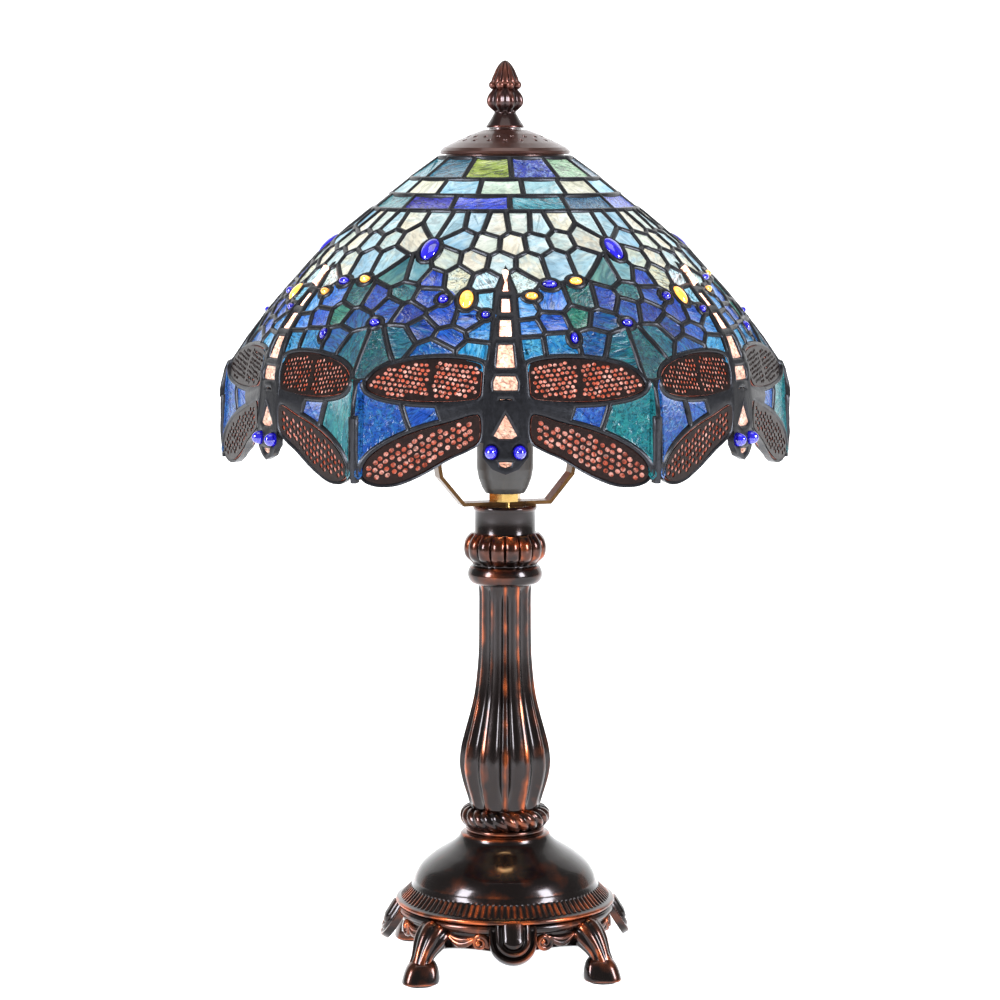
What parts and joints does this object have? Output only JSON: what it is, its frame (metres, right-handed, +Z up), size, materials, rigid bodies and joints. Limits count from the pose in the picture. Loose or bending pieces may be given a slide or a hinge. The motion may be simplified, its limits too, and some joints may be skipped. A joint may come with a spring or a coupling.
{
  "type": "stained glass table lamp",
  "caption": "Table lamp with a domed leaded-glass shade of dragonflies, jewels and rippled panes, held by a harp over a fluted bronze-finish stand on paw feet.",
  "frame": {"origin": "centre of the base at the surface that the lamp stands on", "axes": "+Z up along the rod; the front of the stand and one dragonfly face -Y"},
  "size_m": [0.3048, 0.2964, 0.4862],
  "materials": {
    "bronze": "antique bronze, satin, rubbed",
    "copper": "antique bronze with worn copper edges",
    "cap_brown": "dark brown satin",
    "brass": "lacquered",
    "aged_brass": "dark aged",
    "zinc_steel": "zinc plated",
    "nickel": "plated",
    "black_phenolic": "dull",
    "insulator_white": "glazed",
    "felt": "dull",
    "fibre_washer": "dull",
    "frosted_glass": "frosted, glowing",
    "clear_glass": "clear",
    "filament": "glowing",
    "lead_came": "black patina solder",
    "pierced_metal": "black patina, pierced",
    "teal_glass": "opalescent, lit",
    "ice_glass": "opalescent, lit",
    "violet_glass": "opalescent, lit",
    "sky_glass": "streaky opalescent, lit",
    "blue_glass": "rippled cathedral, lit",
    "skirt_glass": "streaky, lit",
    "wing_glass": "opalescent pink, lit",
    "body_glass": "opalescent salmon, lit",
    "cobalt_jewel": "pressed, glossy",
    "amber_jewel": "pressed, glossy"
  },
  "bodies": {
    "stand": {"foot_pads": "felt", "paw_feet": "bronze", "apron_ring": "bronze", "base_dome": "bronze", "bottom_plate": "zinc_steel", "clamp_nut": "zinc_steel", "cord_bushing": "black_phenolic", "rope_collar": "copper", "fluted_shaft": "bronze", "gadroon_knop": "copper", "top_sleeve": "bronze", "threaded_rod": "brass", "harp": "aged_brass", "harp_stud": "brass", "saddle_nut": "brass", "socket_cap": "black_phenolic", "socket_shell": "black_phenolic", "socket_insulator": "insulator_white", "socket_screw_shell": "brass", "socket_contact": "brass", "terminal_screws": "nickel"},
    "bulb_tip": {"bulb_tip": "nickel"},
    "bulb": {"bulb_base": "nickel", "bulb_globe": "frosted_glass", "bulb_stem": "clear_glass", "bulb_filaments": "filament"},
    "shade_seat": {"seat_washer": "fibre_washer"},
    "shade": {"spider": "brass", "aperture_ring": "brass", "crown_tiles_top": "teal_glass", "crown_tiles_middle": "ice_glass", "crown_tiles_lower": "violet_glass", "sky_glass": "sky_glass", "blue_glass": "blue_glass", "crown_leading": "lead_came", "field_leading": "lead_came", "skirt_glass": "skirt_glass", "skirt_leading": "lead_came", "upper_wings": "wing_glass", "lower_wings": "wing_glass", "upper_wing_filigree": "pierced_metal", "lower_wing_filigree": "pierced_metal", "dragonfly_bodies": "body_glass", "dragonfly_eyes": "cobalt_jewel", "blue_jewels": "cobalt_jewel", "amber_jewels": "amber_jewel"},
    "cap": {"vented_cap": "cap_brown"},
    "finial_washer": {"finial_washer": "brass"},
    "finial": {"finial": "cap_brown"}
  },
  "joints": [
    {"name": "bulb_rise", "type": "slide", "parent": "stand", "child": "bulb_tip", "axis": [0, 0, 1], "range_m": [0, 0.022]},
    {"name": "bulb_turn", "type": "hinge", "parent": "bulb_tip", "child": "bulb", "pos_m": [0, 0, 0.29], "axis": [0, 0, 1], "range_deg": [0, 2160]},
    {"name": "shade_lift", "type": "slide", "parent": "stand", "child": "shade_seat", "axis": [0, 0, 1], "range_m": [0, 0.2]},
    {"name": "shade_swivel", "type": "hinge", "parent": "shade_seat", "child": "shade", "pos_m": [0, 0, 0.434], "axis": [0, 0, 1], "continuous": true},
    {"name": "cap_lift", "type": "slide", "parent": "shade", "child": "cap", "axis": [0, 0, 1], "range_m": [0, 0.04]},
    {"name": "finial_turn", "type": "hinge", "parent": "cap", "child": "finial_washer", "pos_m": [0, 0, 0.4503], "axis": [0, 0, 1], "range_deg": [0, 2160]},
    {"name": "finial_rise", "type": "slide", "parent": "finial_washer", "child": "finial", "axis": [0, 0, 1], "range_m": [0, 0.0057]}
  ],
  "couplings": [
    {"joint": "bulb_rise", "follows": "bulb_turn", "m_per_rad": 0.0005775},
    {"joint": "finial_rise", "follows": "finial_turn", "m_per_rad": 0.00014972}
  ]
}
